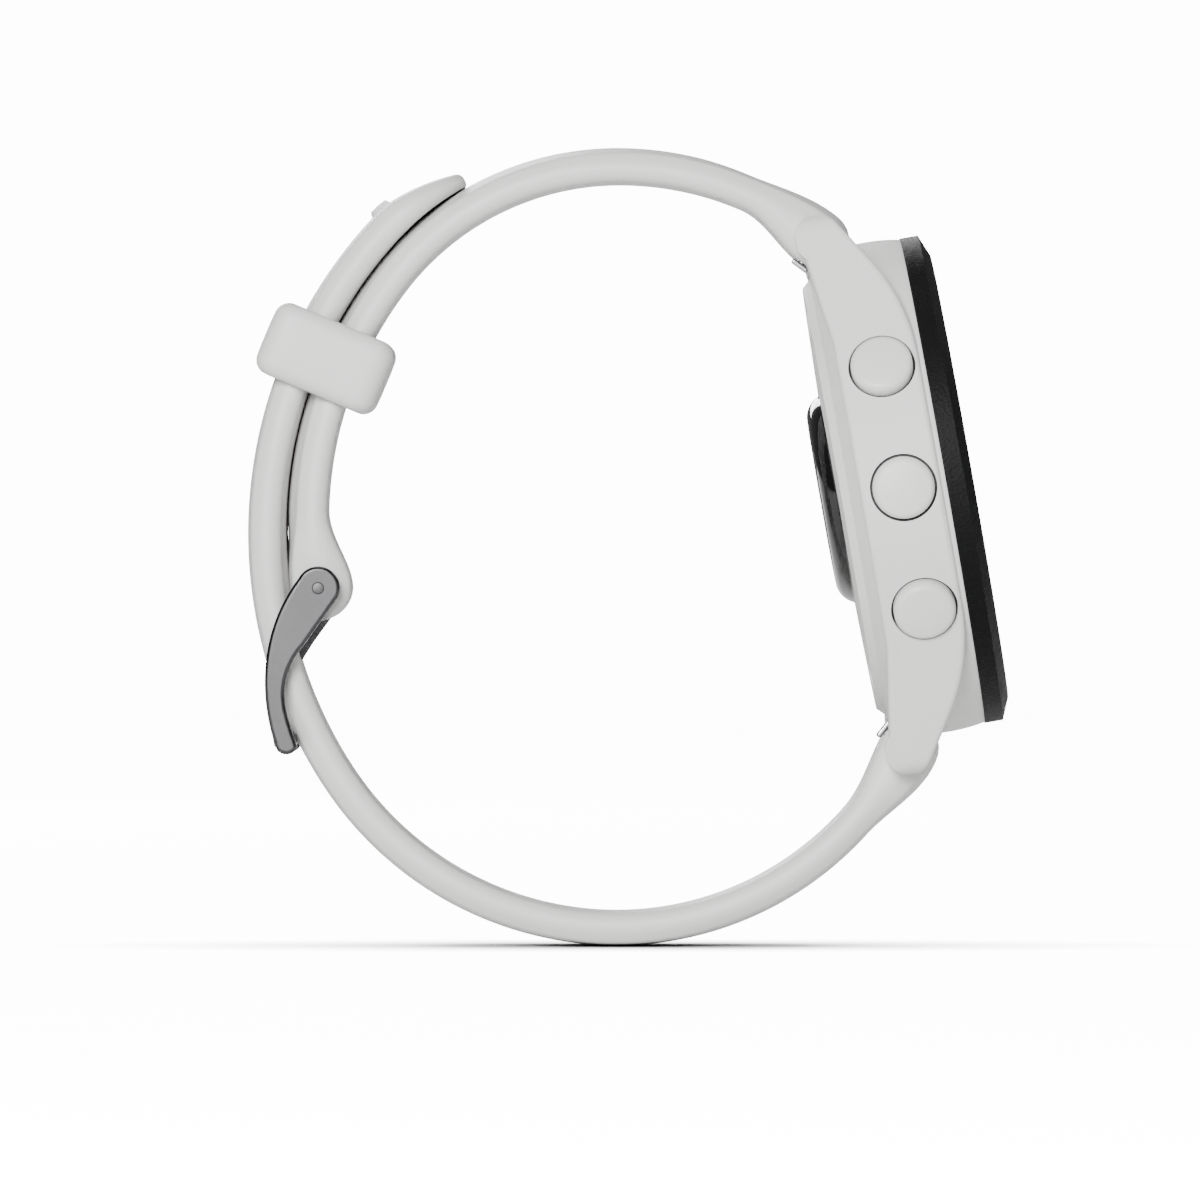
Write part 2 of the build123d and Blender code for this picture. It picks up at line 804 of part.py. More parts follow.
def bar_spring(axis):
    """Coil spring between the slider and the closed end of the tube."""
    low = slider_length - tube_half + 0.05
    length = tube_half - 1.05 - low
    reach = length - 2 * bar_spring_wire
    path = Helix(pitch=reach / bar_spring_turns, height=reach, radius=bar_spring_r)
    section = Plane(origin=path @ 0, z_dir=path % 0) * Circle(bar_spring_wire)
    coil = sweep(section, path=path)
    return Pos(axis[0], low + bar_spring_wire, axis[1]) * Rot(-90, 0, 0) * coil


nodes = {}
case_nodes = [main_case, bezel, front_lens, lens_seal, display_module, antenna_ring,
              back_cover, back_cover_seal, back_screws, sensor_window, sensor_board,
              sensor_leds, charging_port, charging_contacts, pressure_vent, chassis,
              battery, vibration_motor, main_board, shield_can, beeper, side_switches]
for make in case_nodes:
    nodes[make.__name__] = case_plane.location * make()
for name, angle in buttons.items():
    nodes[name] = case_plane.location * button_cap(angle)
    nodes[name + "_clip"] = case_plane.location * button_clip(angle)
    nodes[name + "_seal"] = case_plane.location * button_seal(angle)
for make in (upper_strap, lower_strap, keeper, buckle_frame, buckle_pin, buckle_tongue):
    nodes[make.__name__] = make()
for side, axis, angle in (("upper", upper_axis, upper_lever_angle),
                          ("lower", lower_axis, lower_lever_angle)):
    nodes[side + "_bar_tube"] = bar_tube(axis, angle)
    nodes[side + "_bar_slider"] = bar_slider(axis, angle)
    nodes[side + "_bar_spring"] = bar_spring(axis)

# Origin at the middle of the bottom of the whole watch
box = Compound(children=[shape.moved(Location()) for shape in nodes.values()]).bounding_box()
shift = Location((-(box.min.X + box.max.X) / 2, -(box.min.Y + box.max.Y) / 2, -box.min.Z))

os.makedirs("parts", exist_ok=True)
for name, shape in nodes.items():
    export_step(shape.moved(shift), "parts/" + name + ".step")
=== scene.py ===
import bmesh
import bpy
import math
import numpy as np
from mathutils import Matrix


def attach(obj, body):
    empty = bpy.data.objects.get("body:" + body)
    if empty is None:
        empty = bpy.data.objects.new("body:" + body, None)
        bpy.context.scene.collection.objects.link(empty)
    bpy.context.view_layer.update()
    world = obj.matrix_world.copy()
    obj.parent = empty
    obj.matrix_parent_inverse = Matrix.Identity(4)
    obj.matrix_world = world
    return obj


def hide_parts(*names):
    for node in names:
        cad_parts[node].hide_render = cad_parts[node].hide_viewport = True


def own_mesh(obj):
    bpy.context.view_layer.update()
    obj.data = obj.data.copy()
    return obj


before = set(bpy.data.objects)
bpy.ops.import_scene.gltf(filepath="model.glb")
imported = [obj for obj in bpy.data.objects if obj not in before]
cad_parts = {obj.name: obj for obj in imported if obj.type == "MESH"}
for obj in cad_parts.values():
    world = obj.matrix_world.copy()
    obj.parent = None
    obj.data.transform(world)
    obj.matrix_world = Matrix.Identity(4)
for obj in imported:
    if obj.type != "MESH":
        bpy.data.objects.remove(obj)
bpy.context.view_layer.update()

MM = 0.001
MID_Y = 0.5


def colour(text):
    """Linear RGBA of an sRGB hex colour."""
    values = [int(text[k:k + 2], 16) / 255 for k in (1, 3, 5)]
    return [v / 12.92 if v <= 0.04045 else ((v + 0.055) / 1.055) ** 2.4 for v in values] + [1.0]


def add(material, kind, settings=None, links=None):
    """Adds a shader node: settings fills sockets or properties, links feeds sockets."""
    tree = material.node_tree
    node = tree.nodes.new("ShaderNode" + kind)
    for key, value in (settings or {}).items():
        if isinstance(key, int) or key in node.inputs:
            node.inputs[key].default_value = value
        else:
            setattr(node, key, value)
    for key, source in (links or {}).items():
        tree.links.new(source, node.inputs[key])
    return node


def finish(name, base, rough, grain=0.25, depth=0.02, spread=0.06, tone=0.05, **more):
    """Material with fine relief of `grain` mm, `depth` mm deep, and slight drifts of tone and
    roughness over several millimetres. more fills other sockets of the shader."""
    material = bpy.data.materials.new(name)
    material.use_nodes = True
    shader = material.node_tree.nodes["Principled BSDF"]
    for key, value in more.items():
        shader.inputs[key.replace("_", " ")].default_value = value
    place = add(material, "TexCoord").outputs["Object"]
    drift = add(material, "TexNoise", {"Scale": 180.0, "Detail": 4.0}, {"Vector": place})
    fine = add(material, "TexNoise", {"Scale": 1.0 / (grain * MM), "Detail": 3.0},
               {"Vector": place})
    middle = colour(base)[:3]
    shade = add(material, "Mix", {"data_type": "RGBA", 6: [c * (1 - tone) for c in middle] + [1.0],
                                  7: [min(1.0, c * (1 + tone)) for c in middle] + [1.0]},
                {0: drift.outputs["Fac"]})
    rise = add(material, "MapRange", {"To Min": rough - spread, "To Max": rough + spread},
               {"Value": drift.outputs["Fac"]})
    bump = add(material, "Bump", {"Strength": 1.0, "Distance": depth * MM},
               {"Height": fine.outputs["Fac"]})
    link = material.node_tree.links.new
    link(shade.outputs[2], shader.inputs["Base Color"])
    link(rise.outputs["Result"], shader.inputs["Roughness"])
    link(bump.outputs["Normal"], shader.inputs["Normal"])
    return material


def mesh(name, points, faces, material, body, sharp=0.7):
    """Closed object from points in millimetres, turned outward, that rides on a CAD body."""
    data = bpy.data.meshes.new(name)
    data.from_pydata((np.asarray(points, float) * MM).tolist(), [], faces)
    shell = bmesh.new()
    shell.from_mesh(data)
    bmesh.ops.remove_doubles(shell, verts=shell.verts, dist=0.002 * MM)
    bmesh.ops.recalc_face_normals(shell, faces=shell.faces)
    shell.to_mesh(data)
    shell.free()
    data.shade_smooth()
    data.set_sharp_from_angle(angle=sharp)
    data.materials.append(material)
    piece = bpy.data.objects.new(name, data)
    bpy.context.scene.collection.objects.link(piece)
    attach(piece, body)
    return piece


def quads(a, b, closed=True):
    """Faces between two lines of vertex numbers."""
    a, b = np.asarray(a), np.asarray(b)
    if closed:
        a, b = np.append(a, a[0]), np.append(b, b[0])
    return np.stack([a[:-1], a[1:], b[1:], b[:-1]], -1).tolist()


def unit(degrees):
    """Unit vectors at angles: (cosine, sine)."""
    angle = np.radians(degrees)
    return np.stack([np.cos(angle), np.sin(angle)], -1)


def smooth(x, a, b):
    """0 before a and 1 after b, easing between."""
    t = np.clip((x - a) / (b - a), 0, 1)
    return t * t * (3 - 2 * t)


THICK, HALF, EDGE = 3.0, 10.0, 1.3
ROOT_R, HOLE_R, HOLE_CORE = 2.6, 1.3, 1.1
# Rim of a hole from the face into its wall: (radius, mm below the face).
HOLE_RIM = ((2.0, 0), (1.62, 0), (1.45, 0.03), (1.34, 0.12), (HOLE_R, 0.3))
# Share of the thickness that the crowned outer face keeps at its sides.
SHOULDER = 0.885
# Wall of the strap from the outer face round to the inner one: (mm in from the full half width,
# share of the thickness).
SIDE = np.array([[-1.0, 0.872], [-0.82, 0.838], [-0.62, 0.775], [-0.42, 0.7], [-0.24, 0.63],
                 [-0.11, 0.56], [-0.03, 0.48], [0.0, 0.4], [-0.04, 0.3], [-0.15, 0.21],
                 [-0.36, 0.12], [-0.65, 0.045], [-1.0, 0.005]])
# Lines that run along the strap, as shares of the half width; a hole lies within FIRST to LAST.
ACROSS = np.array([-1, -0.87, -0.745, -0.723, -0.6, -0.45, -0.33, -0.309,
                   -0.2763, -0.207, -0.138, -0.069, 0, 0.069, 0.138, 0.207, 0.2763,
                   0.38, 0.5, 0.62, 0.74, 0.86, 1])
FIRST, LAST = 8, 16


def arc_lengths(angles, radii):
    """Length of each arc half way through the strap: its turn times its middle radius."""
    return [abs(math.radians(b - a)) * (r + THICK / 2)
            for a, b, r in zip(angles[:-1], angles[1:], radii)]


def spine(shape, rows):
    """Points on the strap's inner line and outward directions at distances from the spring bar.
    Arcs of the given inner radii run on into one another at the given angles, the first passing
    `seat` mm inside of the bar; distances are measured half way through the strap."""
    axis, seat, angles, radii = shape
    centre = np.array(axis) - (radii[0] + seat) * unit(angles[0])
    way = np.sign(angles[1] - angles[0])
    inner, out = np.zeros((len(rows), 2)), np.zeros((len(rows), 2))
    begin = 0.0
    for k, length in enumerate(arc_lengths(angles, radii)):
        here = rows >= begin if k else np.full(len(rows), True)
        turn = unit(angles[k] + way * np.degrees((rows[here] - begin) / (radii[k] + THICK / 2)))
        out[here] = turn
        inner[here] = centre + radii[k] * turn
        if k < len(radii) - 1:
            centre = centre + (radii[k] - radii[k + 1]) * unit(angles[k + 1])
        begin += length
    return inner, out


def on_strap(shape, rows, depth, across):
    """Points at a depth outward of the inner line and a place across the strap."""
    inner, out = spine(shape, np.ravel(rows))
    inner, out = (v.reshape(np.shape(rows) + (2,)) for v in (inner, out))
    flat = inner + out * depth[..., None]
    return np.stack([flat[..., 0], MID_Y + across, flat[..., 1]], -1)


def crown(share):
    """Height of the outer face as a share of the thickness, falling with the square of the share
    of the half width."""
    return SHOULDER + (1 - SHOULDER) * (1 - share ** 2)


def opposite(column):
    """Column on the inner face across from one on the outer face."""
    return 2 * len(ACROSS) + len(SIDE) - 1 - column


def pierce(shape, rows, i0, i1, index, total, dent, hump):
    """One stadium hole between two rows: the new points, numbered from total, and the faces that
    join its rim on the outer face to its rim on the inner face."""
    rim = np.array([(i, FIRST) for i in range(i0, i1)] + [(i1, j) for j in range(FIRST, LAST)]
                   + [(i, LAST) for i in range(i1, i0, -1)]
                   + [(i0, j) for j in range(LAST, FIRST, -1)])
    centre = (rows[i0] + rows[i1]) / 2
    along = rows[rim[:, 0]] - centre
    core = np.clip(along, -HOLE_CORE, HOLE_CORE)
    away = np.stack([along - core, ACROSS[rim[:, 1]] * (HALF - EDGE)], -1)
    away /= np.linalg.norm(away, axis=1)[:, None]
    points, loops = [], [index[rim[:, 0], rim[:, 1]]]
    for share, rings in ((0, HOLE_RIM), (1, HOLE_RIM[::-1])):
        for radius, drop in rings:
            side = away[:, 1] * radius
            beside = centre + core + away[:, 0] * radius
            upper = THICK * crown(side / (HALF - EDGE)) - drop + hump(beside, side)
            lower = drop + dent(beside, side)
            points.append(on_strap(shape, beside, upper * (1 - share) + lower * share, side))
            loops.append(np.arange(total, total + len(rim)))
            total += len(rim)
    loops.append(index[rim[:, 0], opposite(rim[:, 1])])
    return points, sum((quads(a, b) for a, b in zip(loops[:-1], loops[1:])), [])


def strap(name, shape, rows, under, over, half, holes, split, dent, hump, material, body):
    """Each row is a loop: across the crowned outer face, down one wall, back across the flat inner
    face, up the other wall. under, over and half are inner depth, outer depth and half width per
    row. holes are pairs of rows, each filled with stadium rings through the strap; split is the
    first row of a notch open at the far end, or None; dent and hump add depth to the inner and
    outer face as functions of (distance, place across)."""
    thick = (over - under)[:, None]
    low = under[:, None]
    y_top = ACROSS * (half - EDGE)[:, None]
    d_top = low + thick * crown(ACROSS) + hump(rows[:, None], y_top)
    y_side, d_side = half[:, None] + SIDE[:, 0], low + thick * SIDE[:, 1]
    y_low = y_top[:, ::-1]
    d_low = low + dent(rows[:, None], y_low)
    y = np.concatenate([y_top, y_side, y_low, -y_side[:, ::-1]], 1)
    d = np.concatenate([d_top, d_side, d_low, d_side[:, ::-1]], 1)
    count, around = y.shape
    points = [on_strap(shape, np.repeat(rows[:, None], around, 1), d, y).reshape(-1, 3)]
    index = np.arange(count * around).reshape(count, around)
    top = len(ACROSS)
    base = top + len(SIDE)
    gone = np.zeros((count - 1, around), bool)
    faces = []
    for i0, i1 in holes:
        gone[i0:i1, FIRST:LAST] = True
        gone[i0:i1, opposite(LAST):opposite(FIRST)] = True
        total = sum(len(p) for p in points)
        added, walls = pierce(shape, rows, i0, i1, index, total, dent, hump)
        points += added
        faces += walls

    ends = {0: range(top - 1), count - 1: range(top - 1)}
    if split is not None:
        left, right = FIRST + 2, LAST - 2
        gone[split:, left:right] = True
        gone[split:, opposite(right):opposite(left)] = True
        for column in (left, right):
            faces += quads(index[split:, column], index[split:, opposite(column)], False)
        faces += quads(index[split, left:right + 1],
                       index[split, opposite(right):opposite(left) + 1][::-1], False)
        ends[count - 1] = [j for j in range(top - 1) if j < left or j >= right]
    beside = np.roll(index, -1, 1)
    cells = np.stack([index[:-1], beside[:-1], beside[1:], index[1:]], -1)
    faces += cells[~gone].tolist()
    for row, columns in ends.items():
        faces += [[index[row, j], index[row, j + 1], index[row, opposite(j + 1)],
                   index[row, opposite(j)]] for j in columns]
        faces.append(list(index[row, top - 1:base + 1]))
        faces.append(list(index[row, base + top - 1:]) + [index[row, 0]])
    return mesh(name, np.concatenate(points), faces, material, body)


def round_end(distance, radius):
    """Half thickness of a round end, at a distance past its middle."""
    return np.sqrt(np.clip(radius ** 2 - np.clip(distance, 0, radius) ** 2, 0.01, None))


def lever_pocket(rows, y):
    """Depth of the recess in the root's inner face that the quick-release lever slides in."""
    wide = smooth(y, -7.0, -6.8) * (1 - smooth(y, -3.1, -2.9))
    long = smooth(rows, -1.32, -1.18) * (1 - smooth(rows, 1.18, 1.32))
    return wide * long * (ROOT_R - 0.85)


def bow(rows, y, start, stop, low, high):
    """Swell of a face in mm across the strap's middle, growing from low to high with distance."""
    share = np.clip((rows - start) / (stop - start), 0, 1)
    swell = (low + (high - low) * share) * smooth(rows, start - 4, start + 2)
    return swell * (1 - smooth(abs(y), 6.8, HALF - EDGE))


# Silicone gives a satin sheen with very fine matt relief and a faint drift of tone.
silicone = finish("matt silicone", "#D4D4D2", 0.5, grain=0.12, depth=0.004, tone=0.015,
                  spread=0.04)

# Each half: spring bar, mm from it to the inner line, angles between its arcs, inner radii.
UPPER = ((16.7108, 61.6187), 1.17, (51.6, 90.0, 142.8, 189.9), (26.9, 23.5, 33.2))
LOWER = ((24.5493, 17.1644), 1.88, (334.3, 266.4, 213.5, 138.3, 119.6),
         (26.45, 27.7, 37.35, 26.8))
ROOT_ROWS = np.array([-2.598, -2.54, -2.35, -2.05, -1.7, -1.32, -1.18, -0.6, 0, 0.6, 1.18, 1.32,
                      1.9, 2.5])


def root_depths(rows, seat):
    """Inner and outer depth of a strap half from its round root on."""
    swell = round_end(-rows, ROOT_R)
    under = (seat - swell) * (1 - smooth(rows, 0.5, 7.5))
    over = THICK + (seat + swell - THICK) * (1 - smooth(rows, 0.3, 8.0))
    return under, over


# The upper half ends in a boss round the buckle pin, 1.25 mm outward of the inner line, and the
# boss is split for the tongue.
BOSS_R, BOSS_SEAT = 2.85, 1.25
upper_length = sum(arc_lengths(*UPPER[2:]))
rows = np.concatenate([ROOT_ROWS, np.arange(3.1, upper_length - 8.0, 0.6),
                       np.linspace(upper_length - 7.7, upper_length, 24),
                       upper_length + BOSS_R * np.sin(np.linspace(0.12, 1.5, 10))])
under, over = root_depths(rows, UPPER[1])
swell = round_end(rows - upper_length, BOSS_R)
grow = smooth(rows, upper_length - 7.0, upper_length - 0.2)
under = under + (BOSS_SEAT - swell) * grow
over = over + (BOSS_SEAT + swell - THICK) * grow
split = int(np.argmin(abs(rows - (upper_length - 3.7))))


def upper_bow(r, y):
    """Swell of the outer face towards the lower half, gone again before the boss."""
    swell = bow(r, y, upper_length - 60.0, upper_length - 8.0, 0.08, 0.5)
    return swell * (1 - smooth(r, upper_length - 7.0, upper_length - 3.0))


upper_strap = strap("upper_strap_silicone", UPPER, rows, under, over, np.full(len(rows), HALF),
                    (), split, lever_pocket, upper_bow, silicone, "upper_strap_body")
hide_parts("upper_strap")

# The lower half has ten holes, a stop bar across it and a tip that thins to 1.3 mm.
HOLE_PITCH, TIP_R, TIP_THICK, TAPER = 7.5, 6.5, 1.3, 7.2
TONGUE_ANGLE, STOP_ANGLE = 198.2, 134.5
angles, radii = LOWER[2:]
lengths = arc_lengths(*LOWER[2:])
lower_length = sum(lengths)
tongue_hole = sum(lengths[:2]) + math.radians(angles[2] - TONGUE_ANGLE) * (radii[2] + THICK / 2)
centres = tongue_hole + HOLE_PITCH * np.arange(-4, 6)
stop = sum(lengths[:3]) + math.radians(angles[3] - STOP_ANGLE) * (radii[3] + THICK / 2)
from_end = TIP_R * (1 - np.sin(np.linspace(0, math.pi / 2, 26)))
rows = np.concatenate([ROOT_ROWS, np.arange(3.1, centres[0] - 3.5, 0.6)]
                      + [np.linspace(c - 3.2, c + 3.2, 11) for c in centres]
                      + [stop + np.array([-0.98, -0.9, -0.75, 0, 0.75, 0.9, 0.98]),
                         lower_length - from_end])
rows = np.unique(np.round(rows, 5))
holes = [(int(np.argmin(abs(rows - c + 3.2))), int(np.argmin(abs(rows - c - 3.2))))
         for c in centres]
under, over = root_depths(rows, LOWER[1])
to_end = lower_length - rows
taper = np.clip(1 - to_end / TAPER, 0, 1)
over = over - (THICK - TIP_THICK) * taper ** 1.3
nose = 0.5 * (1 - np.sqrt(1 - np.clip(1 - to_end / 0.5, 0, 0.98) ** 2))
half = np.where(to_end < TIP_R, HALF - TIP_R + np.sqrt(
    np.clip(TIP_R ** 2 - (TIP_R - np.clip(to_end, 0, TIP_R)) ** 2, 0, None)), HALF)


def stop_bar(r, y):
    """Height of the low bar across the outer face that stops the keeper."""
    long = smooth(r, stop - 0.98, stop - 0.8) * (1 - smooth(r, stop + 0.8, stop + 0.98))
    return 0.42 * long * (1 - smooth(abs(y), 5.6, 6.4))


def lower_hollow(r, y):
    """Depth of the inner face: the lever's recess, less its swell towards the upper half."""
    swell = bow(r, y, tongue_hole + 6.0, lower_length - 6.0, 0.5, 0.05)
    return lever_pocket(r, y) - swell * (1 - smooth(r, lower_length - 8.0, lower_length - 4.0))


lower_strap = strap("lower_strap_silicone", LOWER, rows, under + nose, over - nose, half, holes,
                    None, lower_hollow, stop_bar, silicone, "lower_strap_body")
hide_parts("lower_strap")

# ---------------------------------------------------------------------------
# Keeper
# One silicone loop round both strap layers, 6.6 mm wide with 1.7 mm walls and
# soft outer edges. It slides on the upper half.
# ---------------------------------------------------------------------------
KEEPER_ANGLE, KEEPER_WIDE, KEEPER_DEEP = 157.1, 24.0, 11.1
KEEPER_WALL, KEEPER_ROUND, KEEPER_INNER_ROUND = 1.7, 1.7, 0.6
KEEPER_ARC_CENTRE = (7.0016, 37.1558)


def rounded_box(wide, deep, radius, per_corner, per_side):
    """Closed outline of a box with round corners, the same count of points for every size."""
    outline = []
    for k, (sx, sy) in enumerate(((1, 1), (-1, 1), (-1, -1), (1, -1))):
        middle = np.array([sx * (wide / 2 - radius), sy * (deep / 2 - radius)])
        outline.append(middle + radius * unit(np.linspace(90 * k, 90 * k + 90, per_corner)))
        after = ((1, 1), (-1, 1), (-1, -1), (1, -1))[(k + 1) % 4]
        head = np.array([after[0] * (wide / 2 - radius), after[1] * (deep / 2 - radius)])
        head = head + radius * unit(90 * k + 90)
        share = np.linspace(0, 1, per_side + 2)[1:-1, None]
        outline.append(outline[-1][-1] * (1 - share) + head * share)
    return np.concatenate(outline)


arc = unit(np.linspace(0, 90, 9))
# Section of the loop's wall: (share of the way out through it, mm along the strap).
section = np.concatenate([
    [[0.0, 0.0], [0.0, 2.2]], np.stack([0.12 - 0.12 * arc[::2, 0], 3.1 + 0.2 * arc[::2, 1]], -1),
    np.stack([0.25 + 0.75 * arc[::-1, 0], 1.95 + 1.35 * arc[::-1, 1]], -1), [[1.02, 1.0]]])
section = np.concatenate([section, section[:0:-1] * [1, -1]])
outer = rounded_box(KEEPER_WIDE, KEEPER_DEEP, KEEPER_ROUND, 8, 10)
inner = rounded_box(KEEPER_WIDE - 2 * KEEPER_WALL, KEEPER_DEEP - 2 * KEEPER_WALL,
                    KEEPER_INNER_ROUND, 8, 10)
loop = inner[None] * (1 - section[:, :1, None]) + outer[None] * section[:, :1, None]
centre = np.array(KEEPER_ARC_CENTRE) + (UPPER[3][2] + THICK) * unit(KEEPER_ANGLE)
out, along = unit(KEEPER_ANGLE), unit(KEEPER_ANGLE + 90)
plane = centre + loop[..., 1:] * out + section[:, 1][:, None, None] * along
points = np.stack([plane[..., 0], MID_Y + loop[..., 0], plane[..., 1]], -1)
index = np.arange(points.shape[0] * points.shape[1]).reshape(points.shape[:2])
faces = sum((quads(index[k], index[(k + 1) % len(index)]) for k in range(len(index))), [])
keeper = mesh("keeper_silicone", points.reshape(-1, 3), faces, silicone, "keeper_body", 1.2)
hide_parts("keeper")

# ---------------------------------------------------------------------------
# Case, back cover and buttons
# Light grey fibre-filled polymer, moulded in a finely blasted tool, so the
# surface is matt with a sand-like grain. The buttons are of the same polymer.
# ---------------------------------------------------------------------------


def paint(material, *names):
    """Gives CAD nodes one material."""
    for name in names:
        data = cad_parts[name].data
        data.materials.clear()
        data.materials.append(material)


# Blasted polymer gives an even, matt light grey with a faint sparkle of grain.
polymer = finish("blasted polymer", "#D6D6D4", 0.55, grain=0.09, depth=0.006, tone=0.012,
                 spread=0.05)
paint(polymer, "main_case", "back_cover")
# Angle of each button round the case, from 3 o'clock.
SIDES = {"light_button": 151, "up_button": 180, "down_button": 209, "start_button": 30,
         "back_button": -30}
# Button polymer is a touch smoother from handling.
cap_polymer = finish("button polymer", "#D8D8D5", 0.42, grain=0.1, depth=0.003, tone=0.01)
paint(cap_polymer, *SIDES)

# Middle of the case back and the case's own directions: 3 o'clock, 12 o'clock, out of the dial.
CASE_O = np.array([18.4635, MID_Y, 39.0095])
TILT = math.radians(10)
CASE_X = np.array([0, 1.0, 0])
CASE_Y = np.array([-math.sin(TILT), 0, math.cos(TILT)])
CASE_Z = np.array([math.cos(TILT), 0, math.sin(TILT)])


def on_case(p):
    """Row-frame points of case-frame points: 3 o'clock, 12 o'clock, out of the dial."""
    p = np.asarray(p, float)
    return CASE_O + p[..., :1] * CASE_X + p[..., 1:2] * CASE_Y + p[..., 2:] * CASE_Z


def lathe(profile, at, way, count=48):
    """Surface of revolution, with its rows of point numbers: (radius, height) points swept round
    the axis through `at` along the unit vector `way`."""
    way = np.asarray(way, float)
    first = np.cross(way, [0.0, 0.0, 1.0])
    first /= np.linalg.norm(first)
    second = np.cross(way, first)
    turn = unit(np.arange(count) * 360 / count)
    round_ = turn[:, :1] * first + turn[:, 1:] * second
    profile = np.asarray(profile, float)
    points = at + profile[:, :1, None] * round_ + profile[:, 1:, None] * way
    index = np.arange(len(profile) * count).reshape(len(profile), count)
    faces = sum((quads(a, b) for a, b in zip(index[:-1], index[1:])), [])
    return points.reshape(-1, 3), faces, index


# A black ring fills the gap round each cap, just below the surface: painted shadow standing for
# the shade deep in the gap.
BUTTON_Z, GAP_IN, GAP_OUT, GAP_SHADOW_LOW, GAP_SHADOW_HIGH = 5.4, 2.705, 2.915, 21.1, 21.5
button_gap_shadow = finish("button gap shadow", "#1A1A1B", 0.6, grain=0.1, depth=0.002)
for name, angle in SIDES.items():
    out = unit(angle)
    way = on_case([out[0], out[1], 0]) - CASE_O
    at = on_case([0, 0, BUTTON_Z])
    points, faces, index = lathe([(GAP_IN, GAP_SHADOW_HIGH), (GAP_OUT, GAP_SHADOW_HIGH), (GAP_OUT, GAP_SHADOW_LOW),
                                  (GAP_IN, GAP_SHADOW_LOW), (GAP_IN, GAP_SHADOW_HIGH)], at, way)
    mesh(name + "_gap_shadow_ring", points, faces, button_gap_shadow, "case")

# ---------------------------------------------------------------------------
# Bezel
# Black polymer ring, 43 mm across, with a leather-like moulded grain and a
# wide chamfer. Its spigot sits in the bore of the case. It is the CAD piece
# with its edges slightly rounded.
# ---------------------------------------------------------------------------
# The grain catches light as small soft pebbles, so the ring never looks like gloss paint.
bezel_black = finish("grained black polymer", "#0A0A0B", 0.5, grain=0.24, depth=0.06, tone=0.2,
                     Specular_IOR_Level=0.1)
paint(bezel_black, "bezel")
soft_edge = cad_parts["bezel"].modifiers.new("edge", "BEVEL")
soft_edge.width, soft_edge.segments, soft_edge.limit_method = 0.07 * MM, 2, "ANGLE"

# ---------------------------------------------------------------------------
# Cover glass and display
# A round glass over a black display that shows the time, the hour ring and
# three plain fields; everything is drawn as thin lit shapes under the glass.
# ---------------------------------------------------------------------------
# Clear glass gives the sharp reflections of a polished flat cover.
cover_glass = finish("cover glass", "#FFFFFF", 0.02, grain=2.0, depth=0.0002, tone=0.0,
                     spread=0.01, Transmission_Weight=1.0, IOR=1.5)
paint(cover_glass, "front_lens")
# The display is deep black with a faint sheen when unlit.
display_black = finish("display black", "#050506", 0.2, grain=0.5, depth=0.0005)
paint(display_black, "display_module")


def lit(name, text, strength):
    """Light-giving colour with a faint unevenness, as a display pixel field has."""
    material = finish(name, text, 0.4, grain=0.1, depth=0.0005, tone=0.03)
    shader = material.node_tree.nodes["Principled BSDF"]
    shader.inputs["Emission Color"].default_value = colour(text)
    shader.inputs["Emission Strength"].default_value = strength
    return material


DIAL_Z = 10.1


def slab(polygons, low, high):
    """Row-frame points and faces of flat pieces between two heights over the case back, from
    outlines in the dial plane."""
    points, faces, total = [], [], 0
    for outline in polygons:
        n = len(outline)
        for height in (low, high):
            points.append(np.column_stack([outline, np.full(n, height)]))
        first, second = np.arange(total, total + n), np.arange(total + n, total + 2 * n)
        faces += [list(first), list(second)] + quads(first, second)
        total += 2 * n
    return on_case(np.concatenate(points)), faces


def strip(inner, outer, start, stop, count):
    """Ring segment outline between two radii and two angles."""
    turn = unit(np.linspace(start, stop, count))
    return np.concatenate([turn * outer, turn[::-1] * inner])


SEGMENTS = {"0": "abcdef", "1": "bc", "2": "abdeg", "3": "abcdg", "4": "bcfg", "5": "acdfg",
            "6": "acdefg", "7": "abc", "8": "abcdefg", "9": "abcdfg"}


def digits(text, x, y, height, gap):
    """Seven-segment numerals as outlines, their left end at x and base at y."""
    wide, bar, found = height * 0.52, height * 0.13, []
    for mark in text:
        if mark == ":":
            for rise in (0.28, 0.72):
                found.append(np.array([x, y + height * rise]) + bar * 0.6
                             * unit(np.arange(0, 360, 30)))
            x += gap
            continue
        ends = {"a": ((0, 1), (1, 1)), "b": ((1, 1), (1, 0.5)), "c": ((1, 0.5), (1, 0)),
                "d": ((0, 0), (1, 0)), "e": ((0, 0.5), (0, 0)), "f": ((0, 1), (0, 0.5)),
                "g": ((0, 0.5), (1, 0.5))}
        for key in SEGMENTS[mark]:
            a, b = (np.array([x + u * wide, y + v * height]) for u, v in ends[key])
            way = (b - a) / np.linalg.norm(b - a)
            side = np.array([-way[1], way[0]]) * bar / 2
            a, b = a + way * bar * 0.15, b - way * bar * 0.15
            found.append(np.array([a, a + way * bar / 2 + side, b - way * bar / 2 + side, b,
                                   b - way * bar / 2 - side, a + way * bar / 2 - side]))
        x += wide + gap
    return found


